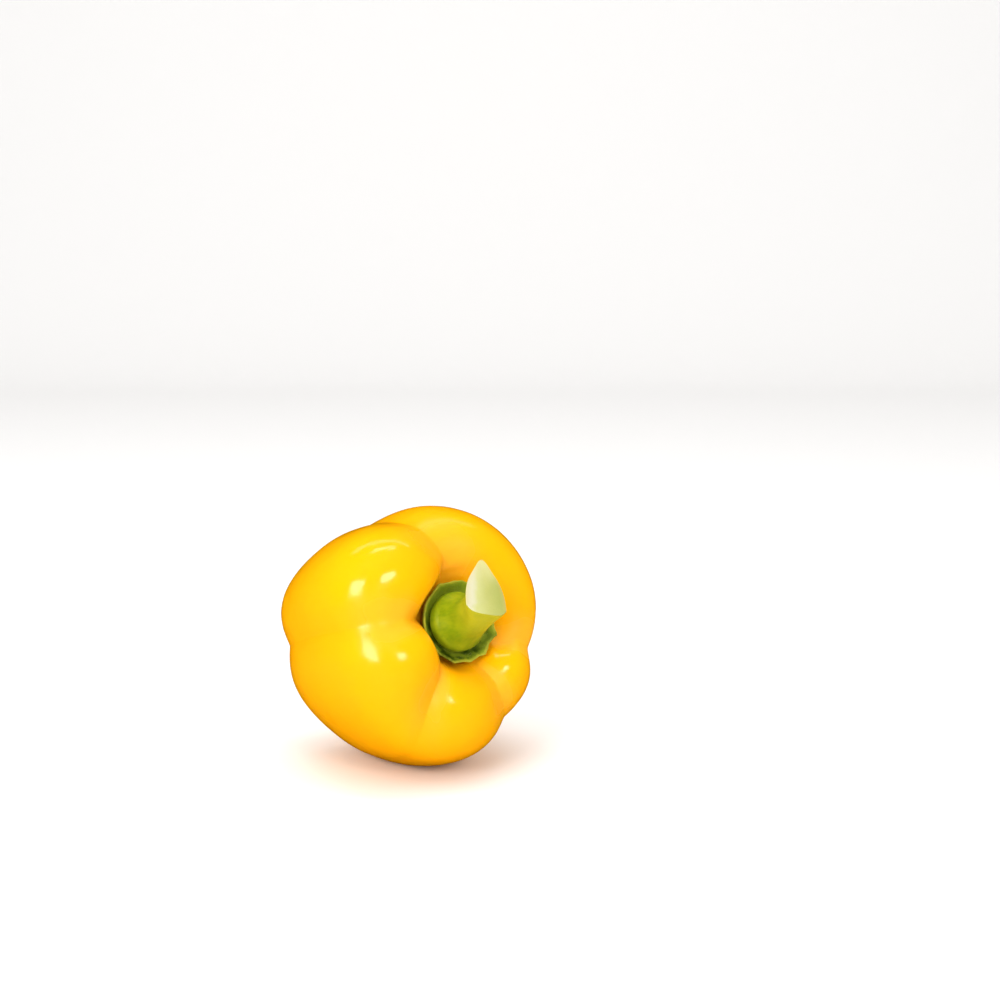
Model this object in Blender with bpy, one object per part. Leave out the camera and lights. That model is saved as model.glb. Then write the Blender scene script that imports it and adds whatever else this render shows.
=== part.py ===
"""A yellow bell pepper lying on its side, as picked, with its calyx and cut stem.

Each piece is shaped in the pepper's own upright frame, in millimetres: the blossom end is down, the stem end is up,
and angles run anticlockwise seen from the stem end. The finished pieces are then laid down on z = 0, in metres.
"""

import math

import bmesh
import bpy
from mathutils import Matrix, Vector

MM = 0.001
# The clear space between two pieces that touch on the real pepper.
GAP = 0.3

# Driving dimensions of the fruit: the outline of a full lobe and of a full crease, from the hollow under the calyx,
# over the shoulder, down the wall and round to the blossom scar, as (radius, height).
LOBE_OUTLINE = (
    (0, 25), (6, 25), (12, 24.8), (15.2, 27), (17.0, 31.5), (21, 35.6), (27, 37), (34, 34.6), (39.5, 28.5), (42.7, 20),
    (43.7, 9.5), (43, -2), (41, -13), (37.5, -23), (32, -31.5), (24, -37.5), (15, -38.5), (7, -35), (0, -33),
)
CREASE_OUTLINE = (
    (0, 25), (6, 25), (12, 24.8), (14.9, 25.9), (16.8, 27.6), (19.4, 28.8), (23.5, 29.6), (29, 28.8), (34, 25.6),
    (37.2, 19), (38.6, 9.5), (38.4, -2), (37, -12), (34, -21), (28.5, -28), (21, -33.2), (13, -35.6), (6, -34.2),
    (0, -33),
)
# Each lobe: the angle where it starts on the shoulder, how far that crease hooks aside beside the calyx and how far it
# swings round on its way to the wall, how far the lobe reaches and how much further at its end, how high its shoulder
# stands, how far that leans in over the calyx and how far the crease opens there, the depth of the crease the lobe
# starts at, beside the calyx, on the shoulder and on the wall, how gradually this lobe and the one before it rise
# from that crease on the shoulder, how soft the lobe's creases are beside the calyx, and the power that moves the
# top of its shoulder towards its start.
LOBES = (
    {"start": 90, "hook": 11, "swing": 7, "reach": 1.0, "late": 0.0, "lift": 1.4, "lean": 3.2, "open": 0.0,
     "pit": 0.9, "brow": 0.85, "furrow": 1.25, "rise": 0.65, "fall": 0.8, "soft": 0.10, "skew": 1.0},
    {"start": 170, "hook": 0, "swing": 1, "reach": 0.85, "late": 0.0, "lift": 2.2, "lean": 1.4, "open": 2.2,
     "pit": 1.3, "brow": 0.5, "furrow": 0.85, "rise": 0.8, "fall": 0.8, "soft": 0.08, "skew": 1.0},
    {"start": 236, "hook": -5, "swing": 16, "reach": 0.99, "late": 0.05, "lift": 0.2, "lean": 0.0, "open": 0.6,
     "pit": 0.8, "brow": 0.7, "furrow": -0.1, "rise": 0.5, "fall": 0.6, "soft": 0.4, "skew": 1.0},
    {"start": 296, "hook": -6, "swing": 15, "reach": 1.0, "late": 0.0, "lift": -2.4, "lean": 0.0, "open": 0.0,
     "pit": 0.6, "brow": 0.5, "furrow": 0.5, "rise": 0.7, "fall": 0.65, "soft": 0.5, "skew": 1.0},
    {"start": 341, "hook": -12, "swing": 4, "reach": 1.10, "late": 0.10, "lift": -3.2, "lean": 0.0, "open": 0.0,
     "pit": 0.65, "brow": 0.45, "furrow": 1.2, "rise": 0.6, "fall": 0.8, "soft": 0.4, "skew": 0.9},
)
# How gradually every lobe rises from its creases on the wall.
WALL_RISE = 0.6
# How soft the bottom of every crease is on the wall.
CREASE_SOFT = 0.6
# The body grew to one side of the stem.
BODY_SHIFT = Vector((-8, -3))
LOBE_STEPS = (17, 16, 15, 13, 21)
OUTLINE_STEPS = 44

# How the pepper lies: its axis leans to the right of -Y and rises towards the stem end.
AXIS_YAW = 34
AXIS_RISE = 17
FLAT_DEPTH = 1.2

# The calyx: a shallow cup with a turned-up rim, as (radius, height over the hollow) from the middle of its underside
# round the rim to the middle of its top.
CALYX_OUTLINE = (
    (0, 0), (4, 0), (8, 0), (10.8, 0.1), (12.6, 0.9), (13.6, 2.2), (14.1, 3.6), (13.7, 4.3), (13, 3.7), (12, 2.4),
    (10.9, 1.4), (9, 1.1), (4, 1.1), (0, 1.1),
)
# The points of its rim, each as (angle, how far it reaches, how many degrees wide), and the side that is wider.
CALYX_POINTS = (
    (6, 0.08, 16), (42, 0.04, 17), (76, 0.03, 18), (114, 0.06, 16), (150, 0.03, 20), (190, 0.03, 20),
    (222, 0.03, 18), (249, 0.06, 15), (276, 0.04, 15), (302, 0.07, 14), (334, 0.08, 14),
)
CALYX_WIDE_TOWARDS = 178
CALYX_WIDER = 0.3
CALYX_POINT_RISE = 11
CALYX_STEPS = 64
CALYX_ROWS = 23

# The stem: sections along its bent middle line, each as (how far along, radius one way, radius the other way), the
# way the wide side faces, the points that pull the middle line into shape, the slant and taper of the cut end, and how
# much flatter that end is on its underside.
STEM_SECTIONS = (
    (0.0, 7.8, 7.8), (0.07, 10.1, 10.1), (0.15, 10.0, 10.0), (0.24, 8.9, 8.8), (0.36, 7.6, 7.5), (0.5, 6.8, 6.6),
    (0.65, 7.3, 6.2), (0.8, 9.3, 6.5), (0.92, 11.9, 7.1), (1.0, 12.9, 7.4),
)
STEM_WIDE_TOWARDS = 83
STEM_LINE = ((-0.9, 0, 0), (-0.9, 0, 9), (-0.6, 1.2, 17), (-2.2, 4.6, 23.9))
STEM_SLANT = 0.5
STEM_SLANT_TOWARDS = 308
STEM_TAPER = 0.3
STEM_FLAT_UNDER = 0.63
STEM_RIDGES = 5
STEM_RIDGE_HEIGHT = 0.035
STEM_SIDES = 36
STEM_STEPS = 22


def spline(points, s):
    """The point at s, from 0 to 1, of the smooth curve that the points pull into shape."""
    count = len(points)
    position = s * (count - 1)
    span = min(int(position), count - 2)
    u = position - span
    weights = (
        (1 - u) ** 3 / 6,
        (3 * u**3 - 6 * u**2 + 4) / 6,
        (-3 * u**3 + 3 * u**2 + 3 * u + 1) / 6,
        u**3 / 6,
    )
    total = Vector((0, 0))
    for offset, weight in enumerate(weights):
        index = span - 1 + offset
        if index < 0:
            corner = 2 * Vector(points[0]) - Vector(points[1])
        elif index >= count:
            corner = 2 * Vector(points[-1]) - Vector(points[-2])
        else:
            corner = Vector(points[index])
        total += weight * corner
    return total


def smooth(x):
    """A soft step from 0 to 1."""
    x = min(1.0, max(0.0, x))
    return x * x * (3 - 2 * x)


def mix(a, b, t):
    return a + (b - a) * t


def bulge(u, s, lobe, after, on_wall):
    """How far a lobe stands out of its two creases, from 0 at a crease to 1 in the middle."""
    soft = mix(lobe["soft"], CREASE_SOFT, smooth((s - 0.22) / 0.18))
    across = math.sin(math.pi * u ** mix(lobe["skew"], 1, on_wall))
    rise = mix(mix(lobe["rise"], after["fall"], smooth(u)), WALL_RISE, on_wall)
    return ((math.hypot(across, soft) - soft) / (math.hypot(1, soft) - soft)) ** rise


def beside_calyx(s):
    """1 on the inner side of the shoulder, 0 elsewhere."""
    return smooth((s - 0.19) / 0.08) * smooth((0.42 - s) / 0.15)


def grown(lobe, u, s):
    """The outline of one lobe, as (radius, height)."""
    out, up = spline(LOBE_OUTLINE, s)
    out *= mix(1, lobe["reach"] + lobe["late"] * u, smooth((s - 0.1) / 0.2) * smooth((1 - s) / 0.15))
    out -= lobe["lean"] * beside_calyx(s)
    up += lobe["lift"] * smooth((s - 0.12) / 0.2) * smooth((0.75 - s) / 0.3)
    return Vector((out, up))


def skin_point(number, u, s):
    """A point of the skin: u runs across the numbered lobe from crease to crease, s along the outline."""
    before, lobe, after = (LOBES[(number + step) % len(LOBES)] for step in (-1, 0, 1))
    dip = spline(CREASE_OUTLINE, s) - spline(LOBE_OUTLINE, s)
    on_brow, on_wall = smooth((s - 0.2) / 0.12), smooth((s - 0.36) / 0.16)
    full = grown(lobe, u, s)
    creases = []
    for neighbour, side, edge in ((before, lobe, 1), (after, after, 0)):
        depth = mix(mix(side["pit"], side["brow"], on_brow), side["furrow"], on_wall)
        opening = Vector((side["open"] * beside_calyx(s), 0))
        creases.append((grown(neighbour, edge, s) + full) / 2 + dip * depth + opening)
    low = creases[0].lerp(creases[1], smooth(u))
    out, up = low + (full - low) * bulge(u, s, lobe, after, on_wall)
    swung, hooked = smooth((s - 0.26) / 0.32), 1 - smooth((s - 0.22) / 0.1)
    start, end = (side["start"] + side["swing"] * swung + side["hook"] * hooked for side in (lobe, after))
    angle = math.radians(start + (end - start) % 360 * u)
    shift = BODY_SHIFT * smooth((s - 0.2) / 0.3)
    return Vector((out * math.cos(angle) + shift.x, out * math.sin(angle) + shift.y, up))


def fruit_rings():
    """Rings of points in the upright frame, from the stem end to the blossom end."""
    rings = []
    for row in range(1, OUTLINE_STEPS):
        ring = []
        for number in range(len(LOBES)):
            steps = LOBE_STEPS[number]
            for step in range(steps):
                even = step / steps
                u = mix(even, (1 - math.cos(math.pi * even)) / 2, 0.5)
                ring.append(skin_point(number, u, row / OUTLINE_STEPS))
        rings.append(ring)
    return rings


def calyx_rings():
    """Rings of points from the middle of the underside, round the rim, to the middle of the top."""
    rings = []
    floor = LOBE_OUTLINE[0][1] + GAP
    for row in range(1, CALYX_ROWS):
        radius, height = spline(CALYX_OUTLINE, row / CALYX_ROWS)
        rim = smooth((radius - 9) / 4)
        ring = []
        for step in range(CALYX_STEPS):
            angle = 360 * step / CALYX_STEPS
            tooth = 0.0
            for middle, reach, width in CALYX_POINTS:
                away = abs((angle - middle + 180) % 360 - 180)
                tooth += reach * max(0.0, 1 - away / width) ** 1.4
            wider = CALYX_WIDER * max(0.0, math.cos(math.radians(angle - CALYX_WIDE_TOWARDS)))
            out = radius * (1 + tooth * rim) - (0.35 - wider) * rim
            turn = math.radians(angle)
            up = floor + height + CALYX_POINT_RISE * tooth * rim * rim
            ring.append(Vector((out * math.cos(turn), out * math.sin(turn), up)))
        rings.append(ring)
    return rings


def stem_rings():
    """Rings of points from the foot of the stem to its cut end, and the middle of that end."""
    base = LOBE_OUTLINE[0][1] + GAP + CALYX_OUTLINE[-1][1] + GAP
    a, b, c, d = (Vector(point) for point in STEM_LINE)
    low_side, wide_side = (
        Vector((math.cos(math.radians(angle)), math.sin(math.radians(angle)), 0))
        for angle in (STEM_SLANT_TOWARDS, STEM_WIDE_TOWARDS)
    )
    rings = []
    for row in range(STEM_STEPS + 1):
        t = row / STEM_STEPS
        middle = (1 - t) ** 3 * a + 3 * (1 - t) ** 2 * t * b + 3 * (1 - t) * t**2 * c + t**3 * d
        heading = ((1 - t) ** 2 * (b - a) + 2 * (1 - t) * t * (c - b) + t**2 * (d - c)).normalized()
        other = heading.cross(wide_side).normalized()
        across = other.cross(heading)
        wide, narrow = section_radii(t)
        ridged = STEM_RIDGE_HEIGHT * smooth((t - 0.2) / 0.2)
        end = smooth((t - 0.45) / 0.55)
        ring = []
        for side in range(STEM_SIDES):
            turn = 2 * math.pi * side / STEM_SIDES
            ridge = 1 + ridged * math.cos(STEM_RIDGES * turn)
            taper = 1 - STEM_TAPER * end * math.cos(turn)
            under = 1 - STEM_FLAT_UNDER * end * smooth(-math.cos(turn) / 0.6)
            flat = across * (wide * under * ridge * math.cos(turn)) + other * (narrow * ridge * taper * math.sin(turn))
            point = middle + flat - heading * (STEM_SLANT * flat.dot(low_side) * end)
            ring.append(point + Vector((0, 0, base)))
        rings.append(ring)
    return rings


def section_radii(t):
    """The two radii of the stem at t along it."""
    for (t0, wide0, narrow0), (t1, wide1, narrow1) in zip(STEM_SECTIONS, STEM_SECTIONS[1:]):
        if t <= t1:
            blend = smooth((t - t0) / (t1 - t0))
            return mix(wide0, wide1, blend), mix(narrow0, narrow1, blend)
    return STEM_SECTIONS[-1][1:]


def closed_mesh(name, rings, first_pole, last_pole):
    """A closed mesh through rings of points with a pole at each end, its faces pointing out."""
    shell = bmesh.new()
    loops = [[shell.verts.new(point) for point in ring] for ring in rings]
    top = shell.verts.new(first_pole)
    bottom = shell.verts.new(last_pole)
    for upper, lower in zip(loops, loops[1:]):
        for i, corner in enumerate(upper):
            j = (i + 1) % len(upper)
            shell.faces.new((corner, lower[i], lower[j], upper[j]))
    for loop, pole in ((loops[0], top), (loops[-1], bottom)):
        for i, corner in enumerate(loop):
            shell.faces.new((corner, loop[(i + 1) % len(loop)], pole))
    bmesh.ops.recalc_face_normals(shell, faces=shell.faces)
    mesh = bpy.data.meshes.new(name)
    shell.to_mesh(mesh)
    shell.free()
    return mesh


def lying_down():
    """The turn that lays the upright pepper on its side."""
    yaw = math.radians(AXIS_YAW)
    rise = math.radians(AXIS_RISE)
    axis = Vector((math.sin(yaw) * math.cos(rise), -math.cos(yaw) * math.cos(rise), math.sin(rise)))
    side = Vector((0, 0, 1)).cross(axis).normalized()
    up = axis.cross(side)
    return Matrix((side, up, axis)).transposed().to_4x4()


def placement(rings):
    """Lays the pepper down so that its lowest skin is pressed a little flat on z = 0."""
    turn = lying_down() @ Matrix.Scale(MM, 4)
    lowest = min((turn @ point).z for ring in rings for point in ring)
    return Matrix.Translation((0, 0, -lowest - FLAT_DEPTH * MM)) @ turn


def material(name, colour, roughness):
    """A named plain material."""
    made = bpy.data.materials.new(name)
    made.use_nodes = True
    shader = made.node_tree.nodes["Principled BSDF"]
    shader.inputs["Base Color"].default_value = (*colour, 1)
    shader.inputs["Roughness"].default_value = roughness
    shader.inputs["Metallic"].default_value = 0
    return made


def add(name, mesh, look):
    """Puts a finished mesh in the scene as one named object."""
    mesh.shade_smooth()
    mesh.materials.append(look)
    piece = bpy.data.objects.new(name, mesh)
    bpy.context.scene.collection.objects.link(piece)
    return piece


def centre(pieces):
    """Moves the pieces together so that the middle of their outer box is over the origin."""
    corners = [vertex.co for piece in pieces for vertex in piece.data.vertices]
    middle = [(min(co[side] for co in corners) + max(co[side] for co in corners)) / 2 for side in (0, 1)]
    for piece in pieces:
        piece.data.transform(Matrix.Translation((-middle[0], -middle[1], 0)))


def clear_scene():
    for old in list(bpy.data.objects):
        bpy.data.objects.remove(old)


def main():
    clear_scene()
    skin = fruit_rings()
    lie = placement(skin)

    hollow = LOBE_OUTLINE[0][1]
    scar = (*BODY_SHIFT, LOBE_OUTLINE[-1][1])
    mesh = closed_mesh("fruit", skin, (0, 0, hollow), scar)
    mesh.transform(lie)
    for vertex in mesh.vertices:
        vertex.co.z = max(0.0, vertex.co.z)
    fruit = add("fruit", mesh, material("fruit_skin", (0.90, 0.50, 0.01), 0.18))

    under, over = (hollow + GAP + CALYX_OUTLINE[end][1] for end in (0, -1))
    mesh = closed_mesh("calyx", calyx_rings(), (0, 0, under), (0, 0, over))
    mesh.transform(lie)
    calyx = add("calyx", mesh, material("calyx_green", (0.07, 0.19, 0.02), 0.45))

    rings = stem_rings()
    foot, cut = (sum(ring, Vector()) / len(ring) for ring in (rings[0], rings[-1]))
    mesh = closed_mesh("stem", rings, foot, cut)
    mesh.transform(lie)
    stem = add("stem", mesh, material("stem_green", (0.33, 0.40, 0.04), 0.4))

    centre((fruit, calyx, stem))


main()
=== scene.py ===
# %% [markdown]
# # A yellow bell pepper
#
# The pepper lies on its side with its stem end towards us. It has three pieces: the lobed fruit, the calyx, which is
# the dark green cup in the hollow at the stem end, and the thick stem. Each is grown here at real size around the
# solid model of the same part, which is loaded first. That model gives the place and the outer size of every piece.

# %% Load the solid model
import math

import bmesh
import bpy
import numpy as np
from mathutils import Matrix, Vector


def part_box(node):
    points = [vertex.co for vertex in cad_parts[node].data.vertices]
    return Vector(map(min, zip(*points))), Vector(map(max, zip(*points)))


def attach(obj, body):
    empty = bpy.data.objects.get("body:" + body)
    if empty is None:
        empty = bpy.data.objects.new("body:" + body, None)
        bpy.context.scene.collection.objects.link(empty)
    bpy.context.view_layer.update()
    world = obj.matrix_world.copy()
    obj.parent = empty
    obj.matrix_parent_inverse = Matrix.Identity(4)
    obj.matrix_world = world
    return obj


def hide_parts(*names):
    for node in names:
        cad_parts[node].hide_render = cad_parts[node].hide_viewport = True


MM = 0.001
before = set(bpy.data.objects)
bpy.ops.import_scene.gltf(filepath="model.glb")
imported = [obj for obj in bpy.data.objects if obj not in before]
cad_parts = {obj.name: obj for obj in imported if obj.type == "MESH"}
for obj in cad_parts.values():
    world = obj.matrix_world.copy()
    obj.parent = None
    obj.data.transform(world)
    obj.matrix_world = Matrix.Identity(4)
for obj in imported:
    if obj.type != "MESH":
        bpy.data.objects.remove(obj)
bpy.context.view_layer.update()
fruit_low, fruit_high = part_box("fruit")


def in_mm(sides):
    """Lengths in millimetres, for printing."""
    return [round(side / MM, 2) for side in sides]


print("solid pieces:", sorted(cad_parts), "fruit", in_mm(fruit_high - fruit_low), "mm")

# %% [markdown]
# ## Two helpers for node trees
#
# A node tree is easiest to read as a formula. `Socket` wraps the output of a node, and when it is used in a Python
# expression, that expression adds the Math nodes. `Tree` adds every other kind of node: it takes the node's type, its
# settings and what goes into its sockets. The same two classes build the Geometry Nodes and the materials.

# %% A socket that does arithmetic
class Socket:
    """The output of a node. Arithmetic with it adds Math nodes to its tree."""

    def __init__(self, tree, end):
        self.tree = tree
        self.end = end

    def math(self, operation, *values):
        return self.tree.add("ShaderNodeMath", {"operation": operation}, dict(enumerate(values)))

    def __add__(self, other):
        return self.math("ADD", self, other)

    def __sub__(self, other):
        return self.math("SUBTRACT", self, other)

    def __rsub__(self, other):
        return self.math("SUBTRACT", other, self)

    def __mul__(self, other):
        return self.math("MULTIPLY", self, other)

    def __truediv__(self, other):
        return self.math("DIVIDE", self, other)

    def __pow__(self, other):
        return self.math("POWER", self, other)

    def __mod__(self, other):
        return self.math("FLOORED_MODULO", self, other)

    __radd__ = __add__
    __rmul__ = __mul__

    def sine(self):
        return self.math("SINE", self)

    def cosine(self):
        return self.math("COSINE", self)

    def floor(self):
        return self.math("FLOOR", self)

    def step(self, start, width):
        """A soft step from 0 to 1 that begins at start and takes this width."""
        ends = {"Value": self, "From Min": start, "From Max": start + width}
        return self.tree.add("ShaderNodeMapRange", {"interpolation_type": "SMOOTHSTEP"}, ends)

    def curve(self, points, handles="AUTO"):
        """Reads a curve through (x, y) points, with x from 0 to 1."""
        return self.tree.add("ShaderNodeFloatCurve", {"points": points, "handles": handles}, {"Value": self})


# %% A tree that takes any other node
def set_curve(node, points, handles):
    """Lays a Float Curve through (x, y) points, with no clipping."""
    node.mapping.use_clip = False
    line = node.mapping.curves[0]
    while len(line.points) < len(points):
        line.points.new(0.5, 0.5)
    for knot, place in zip(line.points, points):
        knot.location = place
        knot.handle_type = handles
    node.mapping.update()


def set_stops(node, stops):
    """Gives a Color Ramp its (place, colour) stops."""
    ramp = node.color_ramp
    while len(ramp.elements) < len(stops):
        ramp.elements.new(0.5)
    for element, (place, colour) in zip(ramp.elements, stops):
        element.position = place
        element.color = (*colour, 1)


class Tree:
    """Adds nodes to a node tree."""

    def __init__(self, tree):
        self.tree = tree

    def add(self, kind, settings=None, inputs=None, out=0):
        settings = dict(settings or {})
        node = self.tree.nodes.new(kind)
        if "points" in settings:
            set_curve(node, settings.pop("points"), settings.pop("handles"))
        if "stops" in settings:
            set_stops(node, settings.pop("stops"))
        for _ in range(settings.pop("items", 2) - 2):
            node.index_switch_items.new()
        for name, value in settings.items():
            setattr(node, name, value)
        for name, value in (inputs or {}).items():
            if isinstance(value, Socket):
                self.tree.links.new(value.end, node.inputs[name])
            elif value is not None:
                node.inputs[name].default_value = value
        return Socket(self, node.outputs[out])

    def other(self, socket, name):
        """Another output of the node that a socket belongs to."""
        return Socket(self, socket.end.node.outputs[name])

    def vector(self, x, y, z):
        return self.add("ShaderNodeCombineXYZ", inputs={"X": x, "Y": y, "Z": z})

    def vectors(self, operation, *values):
        """Vector Math on two or three vectors."""
        out = "Value" if operation in ("DOT_PRODUCT", "LENGTH") else "Vector"
        return self.add("ShaderNodeVectorMath", {"operation": operation}, dict(enumerate(values)), out)

    def scaled(self, vector, factor):
        return self.add("ShaderNodeVectorMath", {"operation": "SCALE"}, {"Vector": vector, "Scale": factor}, "Vector")


# %% [markdown]
# ## Making a piece from a Geometry Nodes tree
#
# Each grown piece starts as a flat grid that its tree rolls up: one side of the grid runs round the piece and the
# other runs along its outline. The tree gets its sizes through named inputs, so the same tree could grow a second
# pepper. `grow` puts the tree on an empty object as a modifier, sets the inputs, and keeps the result as a plain mesh.

# %% Trees with named inputs, and the mesh they make
def new_group(name, inputs):
    """A Geometry Nodes group with named inputs, as {name: (socket type, value)}, and its input sockets."""
    group = bpy.data.node_groups.new(name, "GeometryNodeTree")
    group.interface.new_socket("Geometry", in_out="OUTPUT", socket_type="NodeSocketGeometry")
    for label, (kind, value) in inputs.items():
        socket = group.interface.new_socket(label, in_out="INPUT", socket_type=kind)
        if value is not None:
            socket.default_value = value
    tree = Tree(group)
    start = group.nodes.new("NodeGroupInput")
    return group, tree, {label: Socket(tree, start.outputs[label]) for label in inputs}


def end_group(tree, geometry, material):
    """Ends a tree: real geometry, smooth, with its material."""
    smooth = tree.add("GeometryNodeSetShadeSmooth", inputs={"Geometry": geometry})
    real = tree.add("GeometryNodeRealizeInstances", inputs={"Geometry": smooth})
    painted = tree.add("GeometryNodeSetMaterial", inputs={"Geometry": real, "Material": material})
    end = tree.tree.nodes.new("NodeGroupOutput")
    tree.tree.links.new(painted.end, end.inputs["Geometry"])


def grow(name, group, **values):
    """Runs a tree with these inputs and returns what it makes as a plain mesh."""
    seed_mesh = bpy.data.objects.new(name, bpy.data.meshes.new(name))
    bpy.context.scene.collection.objects.link(seed_mesh)
    modifier = seed_mesh.modifiers.new(name, "NODES")
    modifier.node_group = group
    for socket in group.interface.items_tree:
        label = socket.name.replace(" ", "_")
        if socket.in_out == "INPUT" and label in values:
            modifier[socket.identifier] = values[label]
    depsgraph = bpy.context.evaluated_depsgraph_get()
    grown = seed_mesh.evaluated_get(depsgraph)
    mesh = bpy.data.meshes.new_from_object(grown, preserve_all_data_layers=True, depsgraph=depsgraph)
    bpy.data.objects.remove(seed_mesh)
    print(name, len(mesh.vertices), "vertices,", sum(len(face.vertices) - 2 for face in mesh.polygons), "triangles")
    return mesh


# %% [markdown]
# ## The finishes
#
# A material is a formula too. Patterns read the place on the object in millimetres, so their sizes are real sizes, or
# they read values that the Geometry Nodes stored on the points, where a pattern follows the way the piece grew.

# %% What the finishes share
def new_finish(name, **fixed):
    """A material with these fixed values on its shader, and the tree and shader to add to."""
    made = bpy.data.materials.new(name)
    made.use_nodes = True
    shader = made.node_tree.nodes["Principled BSDF"]
    for label, value in fixed.items():
        shader.inputs[label.replace("_", " ")].default_value = value
    return made, Tree(made.node_tree), shader


def join(tree, shader, **sockets):
    """Links formulas to the shader's inputs."""
    for label, socket in sockets.items():
        tree.tree.links.new(socket.end, shader.inputs[label.replace("_", " ")])


def mixed(tree, factor, first, last):
    """One colour that passes into another."""
    colours = [colour if isinstance(colour, Socket) else (*colour, 1) for colour in (first, last)]
    return tree.add("ShaderNodeMix", {"data_type": "RGBA"}, {0: factor, 6: colours[0], 7: colours[1]}, 2)


def place_mm(tree):
    """The place on the object, in millimetres."""
    return tree.scaled(tree.add("ShaderNodeTexCoord", out="Object"), 1 / MM)


def stored(tree, name, out="Fac"):
    """A value that was stored on the points."""
    return tree.add("ShaderNodeAttribute", {"attribute_name": name}, out=out)


def noise(tree, place, size, detail=2.0, stretch=(1, 1, 1)):
    """Noise from 0 to 1 whose patches are about this size in millimetres, or stretched along an axis."""
    scaled = tree.add("ShaderNodeMapping", inputs={"Vector": place, "Scale": [1 / (size * side) for side in stretch]})
    return tree.add("ShaderNodeTexNoise", inputs={"Vector": scaled, "Scale": 1.0, "Detail": detail})


def bump(tree, height, distance, normal=None):
    """A height in millimetres, times this distance, as a bumped normal."""
    inputs = {"Height": height, "Distance": distance * MM, "Strength": 1.0, "Normal": normal}
    return tree.add("ShaderNodeBump", inputs=inputs)


# %% [markdown]
# The skin is smooth wax over flesh that light enters, so it is glossy and has a little subsurface light. Its yellow is
# warmer in wide soft patches, and faint streaks run from the stem to the blossom end. The skin turns brown and corky at
# the scar where the blossom sat. Painted shade makes it more orange in the creases and near the stem hollow, darker in
# the dimple at the blossom end, and reddish brown deep in the hollow, in the gap beside the calyx. It is duller in the
# creases next to that gap.

# %% The skin
SKIN_YELLOW = (0.95, 0.415, 0.0010)
SKIN_ORANGE = (0.93, 0.34, 0.0009)
# Painted shade: the reddish brown laid deep in the hollow beside the calyx and in the dimple at the blossom end.
HOLLOW_PAINTED_SHADE = (0.30, 0.08, 0.004)
SCAR_BROWN = (0.20, 0.11, 0.045)
# Sizes in millimetres: warm patches, streaks, waves of the skin and pores, and how high the waves and pores stand.
PATCH_SIZE = 26
STREAK_SIZE = 2.2
STREAK_LENGTH = 9
WAVE_SIZE, WAVE_RELIEF = 5, 0.10
PORE_SIZE, PORE_RELIEF = 0.6, 0.006
# How rough the skin is at its smoothest, how much rougher in the creases beside the calyx, and how far along the
# outline the scar starts.
SKIN_ROUGH = 0.12
CREASE_ROUGHER = 0.3
SCAR_START = 0.978


def skin_finish():
    made, tree, shader = new_finish(
        "pepper_skin", Subsurface_Weight=0.25, Subsurface_Scale=1.0, Subsurface_Radius=(0.006, 0.003, 0.0005),
        IOR=1.45, Specular_Tint=(1.0, 0.95, 0.8, 1.0),
    )
    own, place = stored(tree, "own_place", "Vector"), place_mm(tree)
    crease, along = stored(tree, "crease"), stored(tree, "along")
    patches = noise(tree, place, PATCH_SIZE).step(0.35, 0.3)
    streaks = noise(tree, own, STREAK_SIZE, 3.0, (1, 1, STREAK_LENGTH)).step(0.3, 0.45)
    # Painted shade: the creases and the stem hollow are warmed towards orange, as shade in them would do. The patches
    # and streaks are the skin's own tone.
    hollow_shade = 1 - along.step(0.16, 0.14)
    warmth_and_shade = crease.step(0.3, 0.9) * 0.15 + patches * 0.15 + streaks * 0.06 + hollow_shade * 0.15
    colour = mixed(tree, warmth_and_shade, SKIN_YELLOW, SKIN_ORANGE)
    # Painted shade: reddish-brown shade in the gap beside the calyx, where the pit mask lies.
    colour = mixed(tree, stored(tree, "pit") * 0.5, colour, HOLLOW_PAINTED_SHADE)
    scar = (along - SCAR_START + noise(tree, place, 1.5) * 0.012).step(0.0, 0.012)
    # Painted shade: the dimple at the blossom end is darkened.
    colour = mixed(tree, along.step(0.93, 0.05) * 0.35, colour, HOLLOW_PAINTED_SHADE)
    colour = mixed(tree, scar, colour, SCAR_BROWN)
    dull = crease.step(0.15, 0.6) * (1 - along.step(0.3, 0.2))
    rough = noise(tree, place, 7).step(0.2, 0.6) * 0.05 + SKIN_ROUGH + scar * 0.5 + dull * CREASE_ROUGHER
    normal = bump(tree, noise(tree, place, WAVE_SIZE, 1.0), WAVE_RELIEF)
    normal = bump(tree, noise(tree, place, PORE_SIZE, 1.0), PORE_RELIEF, normal)
    join(tree, shader, Base_Color=colour, Roughness=rough, Normal=normal)
    return made


skin = skin_finish()
print("skin nodes", len(skin.node_tree.nodes))

# %% [markdown]
# ## The fruit
#
# A bell pepper is a ring of swollen lobes with creases between them, round a hollow at each end. Its shape follows a
# rule, so Geometry Nodes grow it: every point knows how far round it is and how far along the outline from the stem
# hollow to the blossom scar. A full lobe has one outline and a full crease another, and a point lies between them, by
# how far across its lobe it is. Beside the calyx the creases are tight. On the wall they open into soft valleys.

# %% The outlines, as (radius, height) in millimetres
LOBE_OUTLINE = (
    (0, 25), (6, 25), (12, 24.8), (15.2, 27), (17.0, 31.5), (21, 35.6), (27, 37), (34, 34.6), (39.5, 28.5), (42.7, 20),
    (43.7, 9.5), (43, -2), (41, -13), (37.5, -23), (32, -31.5), (24, -37.5), (15, -38.5), (7, -35), (0, -33),
)
CREASE_OUTLINE = (
    (0, 25), (6, 25), (12, 24.8), (14.9, 25.9), (16.8, 27.6), (19.4, 28.8), (23.5, 29.6), (29, 28.8), (34, 25.6),
    (37.2, 19), (38.6, 9.5), (38.4, -2), (37, -12), (34, -21), (28.5, -28), (21, -33.2), (13, -35.6), (6, -34.2),
    (0, -33),
)
HOLLOW_HEIGHT = LOBE_OUTLINE[0][1]


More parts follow.
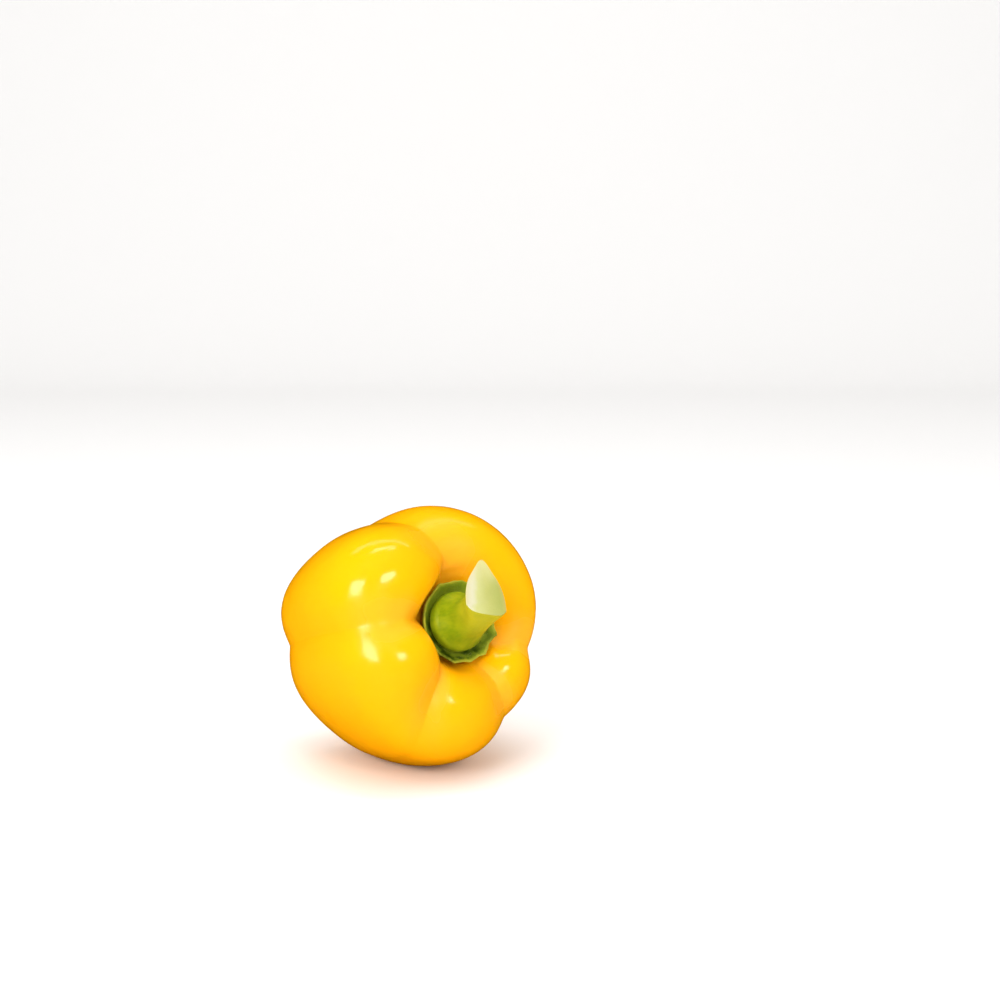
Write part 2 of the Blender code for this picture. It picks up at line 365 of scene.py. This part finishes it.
def spline(points, s):
    """The point at s, from 0 to 1, of the smooth curve that the points pull into shape."""
    points = np.array(points, float)
    before, after = 2 * points[0] - points[1], 2 * points[-1] - points[-2]
    padded = np.vstack([before, points, after])
    span = min(int(s * (len(points) - 1)), len(points) - 2)
    u = s * (len(points) - 1) - span
    weights = ((1 - u) ** 3, 3 * u**3 - 6 * u**2 + 4, -3 * u**3 + 3 * u**2 + 3 * u + 1, u**3)
    return sum(weight / 6 * corner for weight, corner in zip(weights, padded[span:span + 4]))


OUTLINE_KNOTS = 49
steps = [knot / (OUTLINE_KNOTS - 1) for knot in range(OUTLINE_KNOTS)]
print("a lobe reaches", max(spline(LOBE_OUTLINE, s)[0] for s in steps), "mm from the middle")

# %% [markdown]
# The lobes of a real pepper are never equal. This one has two full lobes on the left, whose shoulders lean in over the
# calyx, one below, a small one at the lower right and a wide one that fills the upper right. `BODY_SHIFT` moves the
# body to one side of the stem, the next value is the way the side of the hollow with painted shade faces, and the last
# three values say how the pepper lies: which way its axis points, how far that rises, and how deep the lowest skin is
# pressed flat.

# %% The lobes
# Each lobe starts at a crease. The crease has an angle on the shoulder, from which it hooks aside next to the calyx and
# swings round on the wall. Then come how far the lobe reaches and how much further at its end, how high its shoulder
# stands, how far that leans in over the calyx and how far the crease opens there. The last values are the depth of the
# crease beside the calyx, on the shoulder and on the wall, how gradually this lobe and the one before it rise from it,
# how soft the lobe's creases are beside the calyx, and the power that moves its top towards its start.
LOBES = (
    {"start": 90, "hook": 11, "swing": 7, "reach": 1.0, "late": 0.0, "lift": 1.4, "lean": 3.2, "open": 0.0,
     "pit": 0.9, "brow": 0.85, "furrow": 1.25, "rise": 0.65, "fall": 0.8, "soft": 0.10, "skew": 1.0},
    {"start": 170, "hook": 0, "swing": 1, "reach": 0.85, "late": 0.0, "lift": 2.2, "lean": 1.4, "open": 2.2,
     "pit": 1.3, "brow": 0.5, "furrow": 0.85, "rise": 0.8, "fall": 0.8, "soft": 0.08, "skew": 1.0},
    {"start": 236, "hook": -5, "swing": 16, "reach": 0.99, "late": 0.05, "lift": 0.2, "lean": 0.0, "open": 0.6,
     "pit": 0.8, "brow": 0.7, "furrow": -0.1, "rise": 0.5, "fall": 0.6, "soft": 0.4, "skew": 1.0},
    {"start": 296, "hook": -6, "swing": 15, "reach": 1.0, "late": 0.0, "lift": -2.4, "lean": 0.0, "open": 0.0,
     "pit": 0.6, "brow": 0.5, "furrow": 0.5, "rise": 0.7, "fall": 0.65, "soft": 0.5, "skew": 1.0},
    {"start": 341, "hook": -12, "swing": 4, "reach": 1.10, "late": 0.10, "lift": -3.2, "lean": 0.0, "open": 0.0,
     "pit": 0.65, "brow": 0.45, "furrow": 1.2, "rise": 0.6, "fall": 0.8, "soft": 0.4, "skew": 0.9},
)
BODY_SHIFT = (-8, -3)
# The way the side of the stem hollow with painted shade faces, in degrees.
SHADE_SIDE_TOWARDS = 205
AXIS_YAW = 34
AXIS_RISE = 17
FLAT_DEPTH = 1.2
starts = [lobe["start"] for lobe in LOBES]
widths = [(after - start) % 360 for start, after in zip(starts, starts[1:] + starts[:1])]
print(len(LOBES), "lobes", widths, "degrees wide")


# %% Reading the outlines and the lobes inside a tree
RADIUS_SPAN = 50
HEIGHT_SPAN = 100


def read_outline(along, outline):
    """Two curves that give radius and height along an outline."""
    places = [spline(outline, s) for s in steps]
    out = along.curve([(s, place[0] / RADIUS_SPAN) for s, place in zip(steps, places)]) * RADIUS_SPAN
    up = along.curve([(s, place[1] / HEIGHT_SPAN + 0.5) for s, place in zip(steps, places)])
    return out, (up - 0.5) * HEIGHT_SPAN


def pick(tree, values, number):
    """The value of the lobe with this number."""
    inputs = {str(index): float(value) for index, value in enumerate(values)}
    inputs["Index"] = number
    return tree.add("GeometryNodeIndexSwitch", {"items": len(values), "data_type": "FLOAT"}, inputs)


def blend(a, b, t):
    return a + (b - a) * t


# %% [markdown]
# The tree below reads almost like the sentence above. `along` runs down the outline, `number` is the lobe, and
# `across` runs over it. `bulge` is 0 in a crease and 1 on the middle of a lobe. The last steps close the seam and the
# two poles, and let the skin wander by a few tenths of a millimetre, because no real skin is perfectly even.

# %% The tree that grows the fruit
FRUIT_SIZES = {
    "Columns": ("NodeSocketInt", 300),
    "Rows": ("NodeSocketInt", 256),
    "Soft crease": ("NodeSocketFloat", 0.6),
    "Wall rise": ("NodeSocketFloat", 0.6),
    "Wave height": ("NodeSocketFloat", 0.35),
    "Wave size": ("NodeSocketFloat", 17.0),
    "Seed": ("NodeSocketInt", 4),
}


def grid_fields(tree, columns, rows):
    """A flat grid, and how far round and how far along each of its points is, from 0 to 1."""
    grid = tree.add("GeometryNodeMeshGrid", inputs={"Vertices X": columns + 1, "Vertices Y": rows + 1})
    place = tree.add("GeometryNodeInputPosition")
    apart = tree.add("ShaderNodeSeparateXYZ", inputs={"Vector": place}, out="X")
    return grid, apart + 0.5, tree.other(apart, "Y") + 0.5


def keep(tree, geometry, name, value, kind="FLOAT"):
    """Stores a value on the points, for the material to read."""
    inputs = {"Geometry": geometry, "Name": name, "Value": value}
    return tree.add("GeometryNodeStoreNamedAttribute", {"data_type": kind}, inputs)


def lobed_fruit(material):
    group, tree, size = new_group("lobed fruit", FRUIT_SIZES)
    grid, turn, along = grid_fields(tree, size["Columns"], size["Rows"])
    lobe_count = len(LOBES)
    sector = turn * lobe_count
    number = sector.floor() % lobe_count
    even = sector - sector.floor()
    across = blend(even, (1 - (even * math.pi).cosine()) * 0.5, 0.5)

    def lobe(key, index):
        return pick(tree, [one[key] for one in LOBES], index)

    full_out, full_up = read_outline(along, LOBE_OUTLINE)
    crease_out, crease_up = read_outline(along, CREASE_OUTLINE)
    growing = along.step(0.1, 0.2) * (1 - along).step(0, 0.15)
    shoulder = along.step(0.12, 0.2) * (0.75 - along).step(0, 0.3)
    inner = along.step(0.19, 0.08) * (0.42 - along).step(0, 0.15)

    def grown(index, part):
        reach = lobe("reach", index) + lobe("late", index) * part - 1
        return full_out * (1 + reach * growing) - lobe("lean", index) * inner, full_up + lobe("lift", index) * shoulder

    own_out, own_up = grown(number, across)
    on_brow, on_wall = along.step(0.2, 0.12), along.step(0.36, 0.16)
    creases = []
    for neighbour, first, edge in ((number + (lobe_count - 1), number, 1.0), (number + 1, number + 1, 0.0)):
        first = first % lobe_count
        depth = blend(blend(lobe("pit", first), lobe("brow", first), on_brow), lobe("furrow", first), on_wall)
        next_out, next_up = grown(neighbour % lobe_count, edge)
        creases.append((
            (own_out + next_out) * 0.5 + (crease_out - full_out) * depth + lobe("open", first) * inner,
            (own_up + next_up) * 0.5 + (crease_up - full_up) * depth,
        ))
    passing = across.step(0, 1)
    low_out, low_up = (blend(first, last, passing) for first, last in zip(*creases))

    soft = blend(lobe("soft", number), size["Soft crease"], along.step(0.22, 0.18))
    skew = blend(lobe("skew", number), 1, on_wall)
    height = (across.math("POWER", across, skew) * math.pi).sine()
    bulge = ((height * height + soft * soft) ** 0.5 - soft) / ((soft * soft + 1) ** 0.5 - soft)
    power = blend(lobe("rise", number), lobe("fall", (number + 1) % lobe_count), passing)
    power = blend(power, size["Wall rise"], on_wall)
    bulge = bulge.math("POWER", bulge.math("MAXIMUM", bulge, 0), power)
    out = blend(low_out, own_out, bulge)
    up = blend(low_up, own_up, bulge)

    swung, hooked = along.step(0.26, 0.32), 1 - along.step(0.22, 0.1)

    def crease_angle(index, first_extra):
        turned = lobe("swing", index) * swung + lobe("hook", index) * hooked
        return pick(tree, [starts[0] + first_extra] + starts[1:], index) + turned

    start = crease_angle(number, 0)
    end = crease_angle((number + 1) % lobe_count, 360)
    angle = blend(start, end, across) * (math.pi / 180)
    shift = along.step(0.2, 0.3)
    place = tree.vector(out * angle.cosine() + shift * BODY_SHIFT[0], out * angle.sine() + shift * BODY_SHIFT[1], up)

    skin = keep(tree, grid, "along", along)
    skin = keep(tree, skin, "crease", (1 - bulge) * along.step(0.08, 0.1) * (1 - along).step(0, 0.1))
    skin = keep(tree, skin, "own_place", place, "FLOAT_VECTOR")
    # The pit value masks painted shade: deep in the stem hollow, strongest on the side that the shade angle faces.
    shaded_side = (angle - math.radians(SHADE_SIDE_TOWARDS)).cosine().step(0.2, 0.6)
    skin = keep(tree, skin, "pit", (1 - along.step(0.15, 0.1)) * shaded_side)
    skin = tree.add("GeometryNodeSetPosition", inputs={"Geometry": skin, "Position": place})
    skin = tree.add("GeometryNodeMergeByDistance", inputs={"Geometry": skin, "Distance": 0.001})
    waves = tree.add("ShaderNodeTexNoise", {"noise_dimensions": "4D"}, {
        "Vector": tree.add("GeometryNodeInputPosition"),
        "W": size["Seed"],
        "Scale": size["Wave size"] ** -1,
        "Detail": 1.0,
    })
    offset = (waves - 0.5) * size["Wave height"] * 2 * along.step(0.2, 0.15)
    normal = tree.add("GeometryNodeInputNormal")
    skin = tree.add("GeometryNodeSetPosition", inputs={"Geometry": skin, "Offset": tree.scaled(normal, offset)})
    end_group(tree, skin, material)
    return group


# %% [markdown]
# The tree grew the fruit upright. It is laid on its side as the solid model is: turned, lowered until its lowest skin
# is pressed a little flat, and slid until it fills the box of the solid fruit.

# %% Lay the fruit down
def lying_down():
    """The turn that lays the upright pepper on its side."""
    yaw, rise = math.radians(AXIS_YAW), math.radians(AXIS_RISE)
    axis = Vector((math.sin(yaw) * math.cos(rise), -math.cos(yaw) * math.cos(rise), math.sin(rise)))
    side = Vector((0, 0, 1)).cross(axis).normalized()
    return Matrix((side, axis.cross(side), axis)).transposed().to_4x4() @ Matrix.Scale(MM, 4)


def corners(mesh):
    """The lowest and the highest corner of a mesh."""
    places = np.empty(len(mesh.vertices) * 3)
    mesh.vertices.foreach_get("co", places)
    places = places.reshape(-1, 3)
    return places.min(axis=0), places.max(axis=0)


fruit_mesh = grow("fruit_skin", lobed_fruit(skin))
fruit_mesh.transform(lying_down())
lowered = Matrix.Translation((0, 0, -corners(fruit_mesh)[0][2] - FLAT_DEPTH * MM))
fruit_mesh.transform(lowered)
for vertex in fruit_mesh.vertices:
    vertex.co.z = max(0.0, vertex.co.z)
low, high = (Vector(corner) for corner in corners(fruit_mesh))
print("fruit as grown", in_mm(high - low), "mm, the solid one", in_mm(fruit_high - fruit_low), "mm")

# %% Fit it to the solid fruit
fill = Matrix.Diagonal([wanted / made for wanted, made in zip(fruit_high - fruit_low, high - low)]).to_4x4()
fitted = Matrix.Translation(fruit_low) @ fill @ Matrix.Translation(-low)
fruit_mesh.transform(fitted)
lie = fitted @ lowered @ lying_down()


def add_piece(name, mesh):
    """Puts a finished mesh in the scene as an object that sits at the origin."""
    piece = bpy.data.objects.new(name, mesh)
    bpy.context.scene.collection.objects.link(piece)
    return piece


def volume(mesh):
    """The volume of a mesh in cubic centimetres, above 0 where its faces point outwards."""
    shell = bmesh.new()
    shell.from_mesh(mesh)
    size = shell.calc_volume(signed=True) / MM**3 / 1000
    shell.free()
    return size


if volume(fruit_mesh) < 0:
    fruit_mesh.flip_normals()
fruit = add_piece("fruit_skin", fruit_mesh)
print("fruit", round(volume(fruit_mesh), 1), "cubic centimetres")

# %% [markdown]
# ## The calyx
#
# The calyx is the leafy cup that the stem stands in. It is dull and dark green, its rim turns up as a thin pale lip
# with a few short points where the sepals end, and its inner slope is speckled. It is one small dish whose outline is
# known, so a formula places its points, as rings round the middle.

# %% The calyx finish
CALYX_DARK = (0.040, 0.075, 0.001)
CALYX_LIGHT = (0.215, 0.275, 0.010)
# The pale green of painted light on the calyx's top and one side.
CALYX_PAINTED_LIGHT = (0.33, 0.42, 0.020)
CALYX_RIM = (0.37, 0.37, 0.020)
CALYX_SPECK = (0.36, 0.42, 0.14)


def calyx_finish():
    made, tree, shader = new_finish(
        "calyx_leaf", Subsurface_Weight=0.1, Subsurface_Scale=1.0, Subsurface_Radius=(0.0008, 0.0012, 0.0003),
        Specular_Tint=(1.0, 1.0, 0.5, 1.0),
    )
    place, rim = place_mm(tree), stored(tree, "rim")
    patches = noise(tree, place, 3.2, 4.0).step(0.34, 0.3)
    colour = mixed(tree, patches, CALYX_DARK, CALYX_LIGHT)
    cells = tree.add("ShaderNodeTexVoronoi", inputs={"Vector": place, "Scale": 1.6}, out="Distance")
    specks = (1 - cells.step(0.12, 0.16)) * noise(tree, place, 3).step(0.5, 0.12)
    colour = mixed(tree, specks * 0.7, colour, CALYX_SPECK)
    # Painted light: the calyx turns paler towards its top and on one side, where light falls on it.
    sideways = tree.add("ShaderNodeSeparateXYZ", inputs={"Vector": place})
    height = tree.other(sideways, "Z")
    painted_light = height.step(50, 12) * 0.7 + sideways.step(22, 10) * 0.4
    colour = mixed(tree, painted_light, colour, CALYX_PAINTED_LIGHT)
    colour = mixed(tree, rim.step(0.8, 0.2) * (patches * 0.8 + 0.2), colour, CALYX_RIM)
    rough = patches * 0.15 + 0.4
    relief = noise(tree, place, 1.1, 3.0) * 0.35 + specks * 0.15
    join(tree, shader, Base_Color=colour, Roughness=rough, Normal=bump(tree, relief, 0.5))
    return made


calyx_leaf = calyx_finish()

# %% The calyx outline and its points
GAP = 0.3
CALYX_OUTLINE = (
    (0, 0), (4, 0), (8, 0), (10.8, 0.1), (12.6, 0.9), (13.6, 2.2), (14.1, 3.6), (13.7, 4.3), (13, 3.7), (12, 2.4),
    (10.9, 1.4), (9, 1.1), (4, 1.1), (0, 1.1),
)
# The angle of each point of the rim, how far it reaches and how sharp it is.
CALYX_POINTS = (
    (6, 0.08, 16), (42, 0.04, 17), (76, 0.03, 18), (114, 0.06, 16), (150, 0.03, 20), (190, 0.03, 20),
    (222, 0.03, 18), (249, 0.06, 15), (276, 0.04, 15), (302, 0.07, 14), (334, 0.08, 14),
)
# The cup is wider on one side: the way that side faces, and by how much.
CALYX_WIDE_TOWARDS = 178
CALYX_WIDER = 0.3
# How far the rim is drawn in, how far a point of the rim rises, and two ripples round it, as (height, count, start in
# degrees).
CALYX_DRAWN_IN = 0.35
CALYX_POINT_RISE = 11
CALYX_RIPPLE_RISE = 14
CALYX_RIPPLES = ((0.006, 13, 0), (0.004, 29, 40))
CALYX_SIDES = 192
CALYX_ROWS = 84


def smooth(x):
    """A soft step from 0 to 1."""
    x = min(1.0, max(0.0, x))
    return x * x * (3 - 2 * x)


def calyx_point(turn, s):
    """The place at s along the outline and turned this many degrees, and how near it is to the rim."""
    radius, height = spline(CALYX_OUTLINE, s)
    rim = smooth((radius - 9) / 4)
    tooth = 0.0
    for middle, reach, width in CALYX_POINTS:
        away = abs((turn - middle + 180) % 360 - 180)
        tooth += reach * max(0.0, 1 - away / width) ** 1.4
    ripple = sum(size * math.sin(math.radians(turn * count + start)) for size, count, start in CALYX_RIPPLES)
    wider = CALYX_WIDER * max(0.0, math.cos(math.radians(turn - CALYX_WIDE_TOWARDS)))
    out = radius * (1 + (tooth + ripple) * rim) - (CALYX_DRAWN_IN - wider) * rim
    up = HOLLOW_HEIGHT + GAP + height + (CALYX_POINT_RISE * tooth + CALYX_RIPPLE_RISE * ripple) * rim * rim
    angle = math.radians(turn)
    return (out * math.cos(angle), out * math.sin(angle), up), smooth((height - 2) / 2)


def rings_mesh(name, rings, first_pole, last_pole):
    """A closed mesh through rings of points with a pole at each end."""
    sides = len(rings[0])
    count = len(rings) * sides
    faces = [
        (row * sides + i, row * sides + (i + 1) % sides, (row + 1) * sides + (i + 1) % sides, (row + 1) * sides + i)
        for row in range(len(rings) - 1) for i in range(sides)
    ]
    last = (len(rings) - 1) * sides
    faces += [((i + 1) % sides, i, count) for i in range(sides)]
    faces += [(last + i, last + (i + 1) % sides, count + 1) for i in range(sides)]
    mesh = bpy.data.meshes.new(name)
    mesh.from_pydata([place for ring in rings for place in ring] + [first_pole, last_pole], [], faces)
    mesh.shade_smooth()
    return mesh


points = [
    [calyx_point(360 * side / CALYX_SIDES, row / CALYX_ROWS) for side in range(CALYX_SIDES)]
    for row in range(1, CALYX_ROWS)
]
poles = [(0, 0, HOLLOW_HEIGHT + GAP + CALYX_OUTLINE[end][1]) for end in (0, -1)]
calyx_mesh = rings_mesh("calyx_cup", [[place for place, rim in ring] for ring in points], *poles)
rims = [rim for ring in points for place, rim in ring] + [0.0, 0.0]
calyx_mesh.attributes.new("rim", "FLOAT", "POINT").data.foreach_set("value", rims)
calyx_mesh.materials.append(calyx_leaf)
calyx_mesh.transform(lie)
if volume(calyx_mesh) < 0:
    calyx_mesh.flip_normals()
calyx = add_piece("calyx_cup", calyx_mesh)
print("calyx", len(calyx_mesh.vertices), "points", round(volume(calyx_mesh), 2), "cubic centimetres")

# %% [markdown]
# ## The stem
#
# The stem widens to a round foot on the calyx, bends over and ends in a slanted cut. Its skin is smooth yellow-green
# with faint ribs. The cut face is pale and fibrous. A Geometry Nodes tree sweeps its section along a bent line: a
# Bezier curve gives the middle line, and Float Curves give the two radii along it. Past the rim of the cut, the same
# grid runs on over the cut face to its middle, so the stem is one closed skin.

# %% The stem finish
STEM_GREEN = (0.29, 0.345, 0.006)
STEM_OLIVE = (0.13, 0.22, 0.001)
STEM_YELLOW = (0.46, 0.43, 0.014)
# The cut face from its right edge to its left, as (place, colour), and its top. The cut tissue is pale, and the palest
# stops at the left edge are partly a painted highlight on it.
CUT_STOPS = (
    (0.0, (0.44, 0.36, 0.10)), (0.12, (0.33, 0.345, 0.085)), (0.45, (0.43, 0.43, 0.13)), (0.68, (0.52, 0.52, 0.21)),
    (0.82, (0.61, 0.58, 0.40)), (1.0, (0.60, 0.54, 0.30)),
)
CUT_TOP = (0.61, 0.56, 0.26)


def stem_finish():
    made, tree, shader = new_finish(
        "stem_skin", Coat_Weight=0.1, Coat_Roughness=0.15, Subsurface_Weight=0.15, Subsurface_Scale=1.0,
        Subsurface_Radius=(0.0015, 0.0015, 0.0003), Specular_Tint=(1.0, 1.0, 0.5, 1.0),
    )
    place, cut, own = place_mm(tree), stored(tree, "cut"), stored(tree, "own_place", "Vector")
    along = stored(tree, "along")
    fibres = noise(tree, own, 0.8, 3.0, (1, 1, 12))
    patches = noise(tree, place, 5, 2.0).step(0.3, 0.4)
    colour = mixed(tree, patches * 0.6 + fibres.step(0.3, 0.4) * 0.3, STEM_GREEN, STEM_OLIVE)
    colour = mixed(tree, along.step(0.35, 0.5) * 0.8, colour, STEM_YELLOW)
    grain = noise(tree, place, 0.7, 3.0)
    across = tree.add("ShaderNodeSeparateXYZ", inputs={"Vector": stored(tree, "across_cut", "Vector")}, out="Y")
    wander = (noise(tree, place, 3.0) - 0.5) * 0.12
    # The palest stops at the left edge of the cut are partly a painted highlight over the pale tissue.
    pale = tree.add("ShaderNodeValToRGB", {"stops": CUT_STOPS}, {"Fac": across * 0.5 + 0.5 + wander}, "Color")
    pale = mixed(tree, tree.other(across, "X").step(0.3, 0.7) * 0.7, pale, CUT_TOP)
    colour = mixed(tree, cut.step(0.35, 0.4), colour, pale)
    rough = cut * 0.10 + 0.30 + fibres * 0.08
    relief = fibres * (1 - cut) * 0.25 + grain * cut * 0.35
    join(tree, shader, Base_Color=colour, Roughness=rough, Normal=bump(tree, relief, 0.3))
    return made


stem_skin = stem_finish()

# %% The stem's sizes
# Sections along the middle line, as (how far along, radius one way, radius the other way).
STEM_SECTIONS = (
    (0.0, 7.8, 7.8), (0.07, 10.1, 10.1), (0.15, 10.0, 10.0), (0.24, 8.9, 8.8), (0.36, 7.6, 7.5), (0.5, 6.8, 6.6),
    (0.65, 7.3, 6.2), (0.8, 9.3, 6.5), (0.92, 11.9, 7.1), (1.0, 12.9, 7.4),
)
STEM_LINE = ((-0.9, 0, 0), (-0.9, 0, 9), (-0.6, 1.2, 17), (-2.2, 4.6, 23.9))
STEM_BASE = HOLLOW_HEIGHT + GAP + CALYX_OUTLINE[-1][1] + GAP
STEM_WIDE_TOWARDS = 83
STEM_SLANT_TOWARDS = 308
# Where the foot ends, where the rim of the cut starts and where it ends, as shares of the way over the stem.
FOOT, RIM, FACE = 0.04, 0.70, 0.74
STEM_SIZES = {
    "Sides": ("NodeSocketInt", 180),
    "Rows": ("NodeSocketInt", 256),
    "Ridges": ("NodeSocketFloat", 5.0),
    "Ridge height": ("NodeSocketFloat", 0.035),
    "Slant": ("NodeSocketFloat", 0.5),
    "Taper": ("NodeSocketFloat", 0.3),
    "Flat under": ("NodeSocketFloat", 0.63),
    "Sunk": ("NodeSocketFloat", 0.7),
    "Seed": ("NodeSocketInt", 2),
}


# %% The tree that grows the stem
def towards(degrees):
    angle = math.radians(degrees)
    return (math.cos(angle), math.sin(angle), 0)


def stalk(material):
    group, tree, size = new_group("stalk", STEM_SIZES)
    grid, round_it, over = grid_fields(tree, size["Sides"], size["Rows"])
    along = over.curve([(0, 0), (FOOT, 0), (RIM, 0.985), (FACE - 0.02, 0.998), (FACE, 1), (1, 1)], "VECTOR")
    share = over.curve([(0, 0), (FOOT, 1), (RIM, 1), (FACE - 0.02, 0.985), (FACE, 0.955), (1, 0)], "VECTOR")
    wide = along.curve([(t, one / 20) for t, one, other in STEM_SECTIONS], "AUTO_CLAMPED") * 20
    narrow = along.curve([(t, other / 20) for t, one, other in STEM_SECTIONS], "AUTO_CLAMPED") * 20

    names = ("Start", "Start Handle", "End Handle", "End")
    line = tree.add("GeometryNodeCurvePrimitiveBezierSegment", inputs={"Resolution": 64, **dict(zip(names, STEM_LINE))})
    middle = tree.add("GeometryNodeSampleCurve", {"mode": "FACTOR"}, {"Curves": line, "Factor": along}, "Position")
    heading = tree.other(middle, "Tangent")
    other = tree.vectors("NORMALIZE", tree.vectors("CROSS_PRODUCT", heading, towards(STEM_WIDE_TOWARDS)))
    across = tree.vectors("CROSS_PRODUCT", other, heading)

    turn = round_it * (2 * math.pi)
    ribs = (turn * size["Ridges"]).cosine() * size["Ridge height"] * along.step(0.2, 0.2) + 1
    end = along.step(0.45, 0.55)
    taper = 1 - size["Taper"] * end * turn.cosine()
    under = 1 - turn.cosine().step(0, -0.6) * end * size["Flat under"]
    flat = tree.vectors(
        "ADD",
        tree.scaled(across, wide * under * ribs * share * turn.cosine()),
        tree.scaled(other, narrow * ribs * taper * share * turn.sine()),
    )
    slant = tree.vectors("DOT_PRODUCT", flat, towards(STEM_SLANT_TOWARDS)) * end * size["Slant"]
    face = (over - RIM).step(0, FACE - RIM)
    sunk = (1 - share * share) * face * size["Sunk"]
    place = tree.vectors("ADD", middle, flat)
    place = tree.vectors("SUBTRACT", place, tree.scaled(heading, slant + sunk))
    place = tree.vectors("ADD", place, (0, 0, STEM_BASE))

    skin = keep(tree, grid, "cut", face)
    skin = keep(tree, skin, "along", along)
    skin = keep(tree, skin, "across_cut", tree.vector(share * turn.cosine(), share * turn.sine(), 0), "FLOAT_VECTOR")
    skin = keep(tree, skin, "own_place", place, "FLOAT_VECTOR")
    skin = tree.add("GeometryNodeSetPosition", inputs={"Geometry": skin, "Position": place})
    skin = tree.add("GeometryNodeMergeByDistance", inputs={"Geometry": skin, "Distance": 0.001})
    end_group(tree, skin, material)
    return group


stem_mesh = grow("stem_stalk", stalk(stem_skin))
stem_mesh.transform(lie)
if volume(stem_mesh) < 0:
    stem_mesh.flip_normals()
stem = add_piece("stem_stalk", stem_mesh)
print("stem", round(volume(stem_mesh), 2), "cubic centimetres")

# %% [markdown]
# ## The pieces take their places
#
# Each grown piece stands for one solid of the model. Nothing on a pepper moves, so all of them ride on the one body.

# %% Tie the pieces to the model
for piece, node, slot in (
    (fruit, "fruit", "fruit_skin"), (calyx, "calyx", "calyx_green"), (stem, "stem", "stem_green"),
):
    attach(piece, "root")
    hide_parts(node)
    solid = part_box(node)
    low, high = corners(piece.data)
    print(node, "stands out of its solid's box by", in_mm(solid[0] - Vector(low)), in_mm(Vector(high) - solid[1]), "mm")

# %% [markdown]
# ## The studio
#
# A white table that runs off into white, soft lights overhead, a square one at the front left and a smaller one at the
# front right: the reflections of these two are the bright squares on the skin. The table, the world and the wide light
# above light the pepper but stay out of its reflections, which would lay a white veil over the yellow.

# %% The floor and the backdrop, one sheet
SHEET_HALF = 3.0
BEND_START = 1.6
BEND_RADIUS = 1.0
BEND_STEPS = 24
profile = [(-SHEET_HALF, 0.0)]
for bend in range(BEND_STEPS + 1):
    angle = math.pi / 2 * bend / BEND_STEPS
    profile.append((BEND_START + BEND_RADIUS * math.sin(angle), BEND_RADIUS * (1 - math.cos(angle))))
profile.append((BEND_START + BEND_RADIUS, SHEET_HALF))
floor_mesh = bpy.data.meshes.new("studio_floor")
floor_mesh.from_pydata(
    [(side * SHEET_HALF, y, z) for y, z in profile for side in (-1, 1)], [],
    [(2 * row, 2 * row + 1, 2 * row + 3, 2 * row + 2) for row in range(len(profile) - 1)],
)
floor_mesh.shade_smooth()
floor_mesh.materials.append(new_finish("studio_paper", Base_Color=(0.86, 0.85, 0.84, 1), Roughness=0.8)[0])
floor = add_piece("studio_floor", floor_mesh)
floor.visible_glossy = False


# %% The lights
WORLD_STRENGTH = 0.85


def soft_light(name, place, sides, power, aim=(0, 0, 0.04)):
    """A soft light of this many watts that faces the pepper, or another place. Returns it."""
    lamp = bpy.data.lights.new(name, "AREA")
    lamp.shape = "RECTANGLE"
    lamp.size, lamp.size_y = sides
    lamp.energy = power
    light = bpy.data.objects.new(name, lamp)
    bpy.context.scene.collection.objects.link(light)
    light.location = place
    light.rotation_euler = (Vector(place) - Vector(aim)).to_track_quat("Z", "Y").to_euler()
    return light


soft_light("key", (-0.58, -1.145, 0.57), (0.58, 0.58), 11)
soft_light("second", (0.53, -1.05, 0.64), (0.26, 0.26), 2.6)
soft_light("overhead", (0.0, 0.0, 1.3), (0.6, 0.2), 2)
soft_light("above", (-0.1, -0.35, 1.2), (1.2, 1.2), 6.5).visible_glossy = False
soft_light("backdrop", (0.0, 1.0, 2.4), (3.0, 0.8), 14, (0.0, 2.4, 0.5))
world = bpy.data.worlds.new("studio")
world.use_nodes = True
world.node_tree.nodes["Background"].inputs["Color"].default_value = (1, 1, 1, 1)
world.node_tree.nodes["Background"].inputs["Strength"].default_value = WORLD_STRENGTH
world.cycles_visibility.glossy = False
bpy.context.scene.world = world
bpy.context.scene.view_settings.view_transform = "Standard"

# %% [markdown]
# ## The camera
#
# The camera looks at the pepper from the front, tilted down a little, with a long lens.

# %% The camera
CAMERA_PLACE = (0.0319, -0.5751, 0.1741)
CAMERA_TILT = 8.2
FOCAL_PIXELS = 1700
IMAGE_PIXELS = 1000
lens = bpy.data.cameras.new("camera")
lens.sensor_width = 36
lens.lens = lens.sensor_width * FOCAL_PIXELS / IMAGE_PIXELS
camera = bpy.data.objects.new("camera", lens)
bpy.context.scene.collection.objects.link(camera)
camera.location = CAMERA_PLACE
camera.rotation_euler = (math.radians(90 - CAMERA_TILT), 0, 0)
bpy.context.scene.camera = camera
